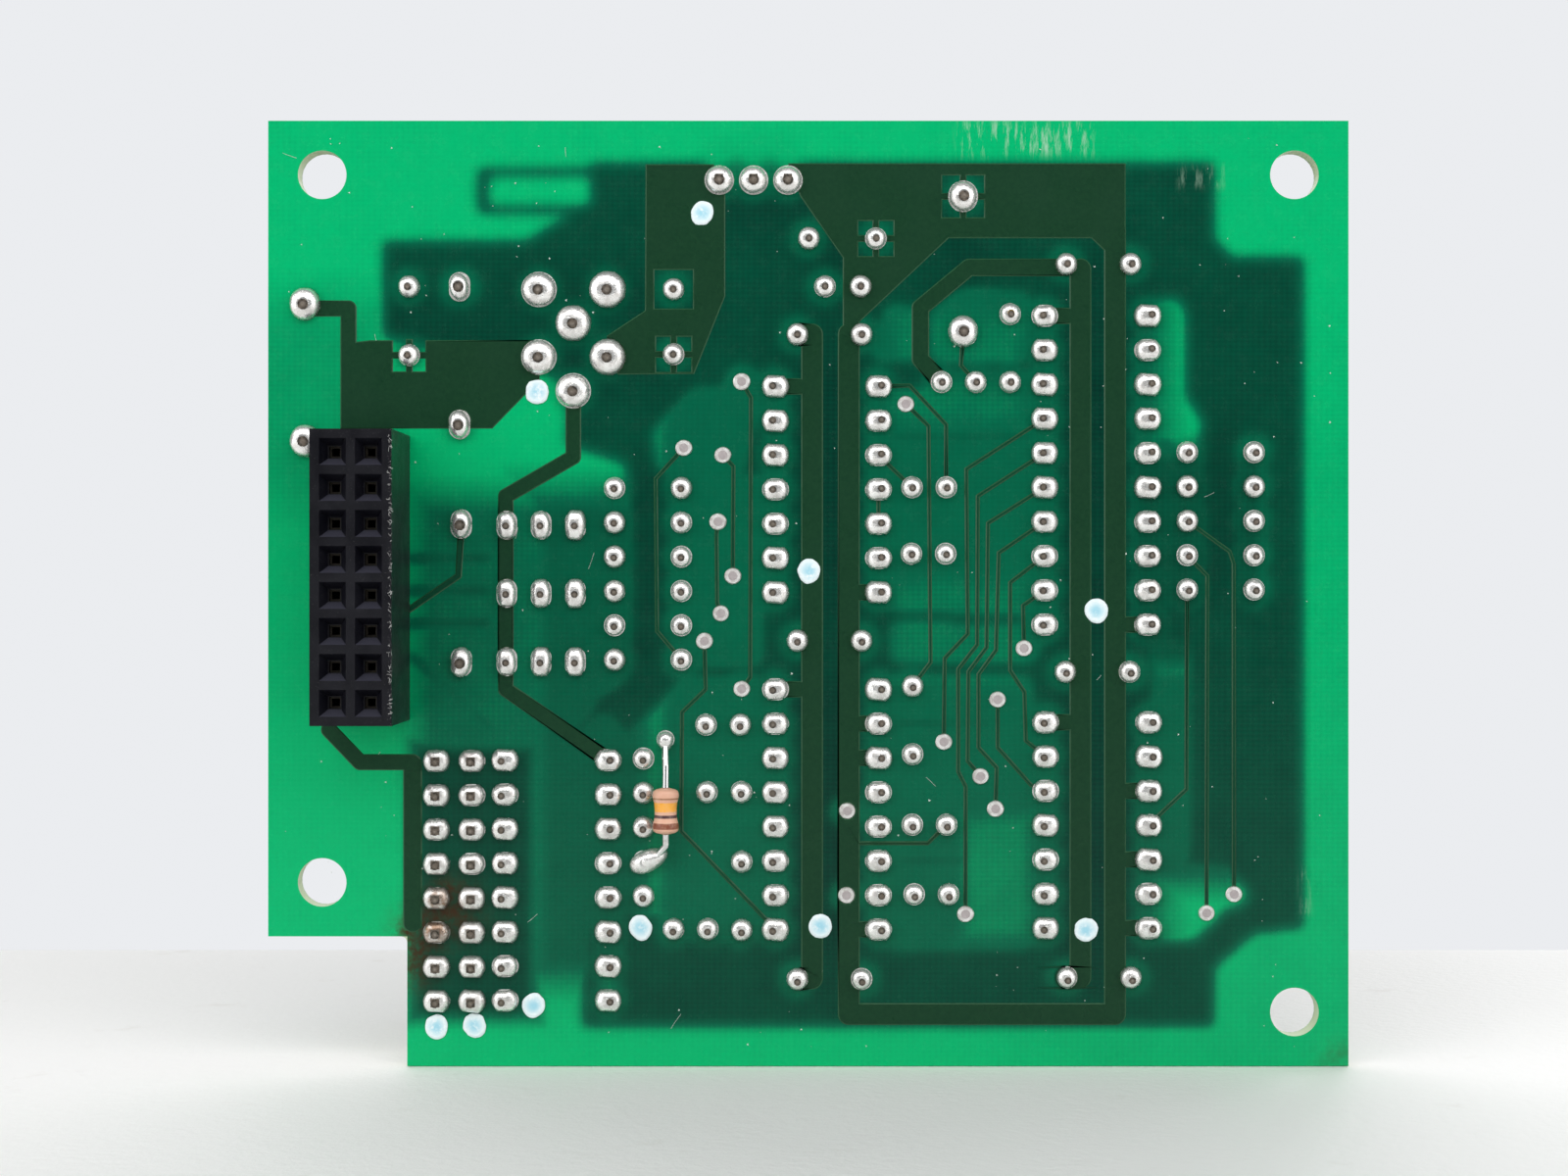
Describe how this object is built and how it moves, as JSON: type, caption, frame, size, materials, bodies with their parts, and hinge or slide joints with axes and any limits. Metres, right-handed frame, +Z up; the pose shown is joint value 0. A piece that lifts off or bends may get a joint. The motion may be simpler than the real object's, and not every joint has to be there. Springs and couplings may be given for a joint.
{
  "type": "servo driver board",
  "caption": "Through-hole servo driver circuit board with a socket strip on its solder side, an output header, regulators and multi-turn trimmers.",
  "frame": {"origin": "midway between the two right-hand fixing holes, on the solder face of the laminate", "axes": "+X to the right and +Z up, seen from the solder side, which faces -Y; the component side faces +Y"},
  "size_m": [0.08, 0.0307, 0.07],
  "materials": {
    "laminate": "satin",
    "masked_copper": "satin",
    "tinned": "satin",
    "solder": "polished",
    "paint": "matte",
    "black_mould": "matte",
    "steel_lead": "satin",
    "brass": "satin",
    "blue_mould": "satin",
    "white_mould": "satin",
    "tan_lacquer": "gloss",
    "yellow_epoxy": "satin",
    "orange_ceramic": "matte",
    "film_box": "satin",
    "can_sleeve": "gloss",
    "diode_glass": "gloss",
    "ceramic": "matte",
    "wheel_nylon": "satin",
    "network_coat": "gloss"
  },
  "bodies": {
    "board_assembly": {"board_laminate": "laminate", "bypass_capacitors": "yellow_epoxy", "capacitor_leads": "steel_lead", "component_side_pads": "tinned", "component_side_tracks": "masked_copper", "diode_leads": "steel_lead", "electrolytic_can": "can_sleeve", "film_capacitors": "film_box", "glass_diode": "diode_glass", "header_joints": "solder", "ic_1_body": "black_mould", "ic_2_body": "black_mould", "ic_3_body": "black_mould", "ic_4_body": "black_mould", "ic_5_body": "black_mould", "output_header_base": "black_mould", "output_header_posts": "steel_lead", "package_joints": "solder", "package_legs": "steel_lead", "paint_dots": "paint", "patch_resistor_body": "tan_lacquer", "patch_resistor_leads": "steel_lead", "patch_solder": "solder", "plastic_diode": "black_mould", "plated_vias": "solder", "power_diodes": "black_mould", "power_inlet_base": "white_mould", "power_inlet_posts": "steel_lead", "power_joints": "solder", "regulator_1_body": "black_mould", "regulator_1_frame": "steel_lead", "regulator_2_body": "black_mould", "regulator_2_frame": "steel_lead", "resistor_network": "network_coat", "resistor_network_pins": "steel_lead", "small_capacitors": "orange_ceramic", "small_resistor_bodies": "tan_lacquer", "small_resistor_leads": "steel_lead", "socket_contacts": "tinned", "socket_housing": "black_mould", "socket_joints": "solder", "solder_side_pads": "tinned", "solder_side_tracks": "masked_copper", "test_pin": "tinned", "transistor_body": "black_mould", "transistor_legs": "steel_lead", "trimmer_1_housing": "blue_mould", "trimmer_2_housing": "blue_mould", "trimmer_3_housing": "blue_mould", "trimmer_elements": "ceramic", "trimmer_joints": "solder", "trimmer_terminals": "steel_lead", "wire_joints": "solder"},
    "trimmer_1_screw": {"trimmer_1_screw": "brass"},
    "trimmer_1_wheel": {"trimmer_1_wheel": "wheel_nylon"},
    "trimmer_2_screw": {"trimmer_2_screw": "brass"},
    "trimmer_2_wheel": {"trimmer_2_wheel": "wheel_nylon"},
    "trimmer_3_screw": {"trimmer_3_screw": "brass"},
    "trimmer_3_wheel": {"trimmer_3_wheel": "wheel_nylon"}
  },
  "joints": [
    {"name": "trimmer_1_adjust", "type": "hinge", "parent": "board_assembly", "child": "trimmer_1_screw", "pos_m": [-0.05858, 0.0066, 0.00505], "axis": [0, 1, 0], "range_deg": [-4500, 4500]},
    {"name": "trimmer_1_wiper_turn", "type": "hinge", "parent": "board_assembly", "child": "trimmer_1_wheel", "pos_m": [-0.05476, 0.0063, 0.00505], "axis": [0, 0, 1], "range_deg": [-150, 150]},
    {"name": "trimmer_2_adjust", "type": "hinge", "parent": "board_assembly", "child": "trimmer_2_screw", "pos_m": [-0.05858, 0.0066, 0], "axis": [0, 1, 0], "range_deg": [-4500, 4500]},
    {"name": "trimmer_2_wiper_turn", "type": "hinge", "parent": "board_assembly", "child": "trimmer_2_wheel", "pos_m": [-0.05476, 0.0063, 0], "axis": [0, 0, 1], "range_deg": [-150, 150]},
    {"name": "trimmer_3_adjust", "type": "hinge", "parent": "board_assembly", "child": "trimmer_3_screw", "pos_m": [-0.05858, 0.0066, -0.00505], "axis": [0, 1, 0], "range_deg": [-4500, 4500]},
    {"name": "trimmer_3_wiper_turn", "type": "hinge", "parent": "board_assembly", "child": "trimmer_3_wheel", "pos_m": [-0.05476, 0.0063, -0.00505], "axis": [0, 0, 1], "range_deg": [-150, 150]}
  ],
  "couplings": [
    {"joint": "trimmer_1_wiper_turn", "follows": "trimmer_1_adjust", "ratio": 0.033333},
    {"joint": "trimmer_2_wiper_turn", "follows": "trimmer_2_adjust", "ratio": 0.033333},
    {"joint": "trimmer_3_wiper_turn", "follows": "trimmer_3_adjust", "ratio": 0.033333}
  ]
}
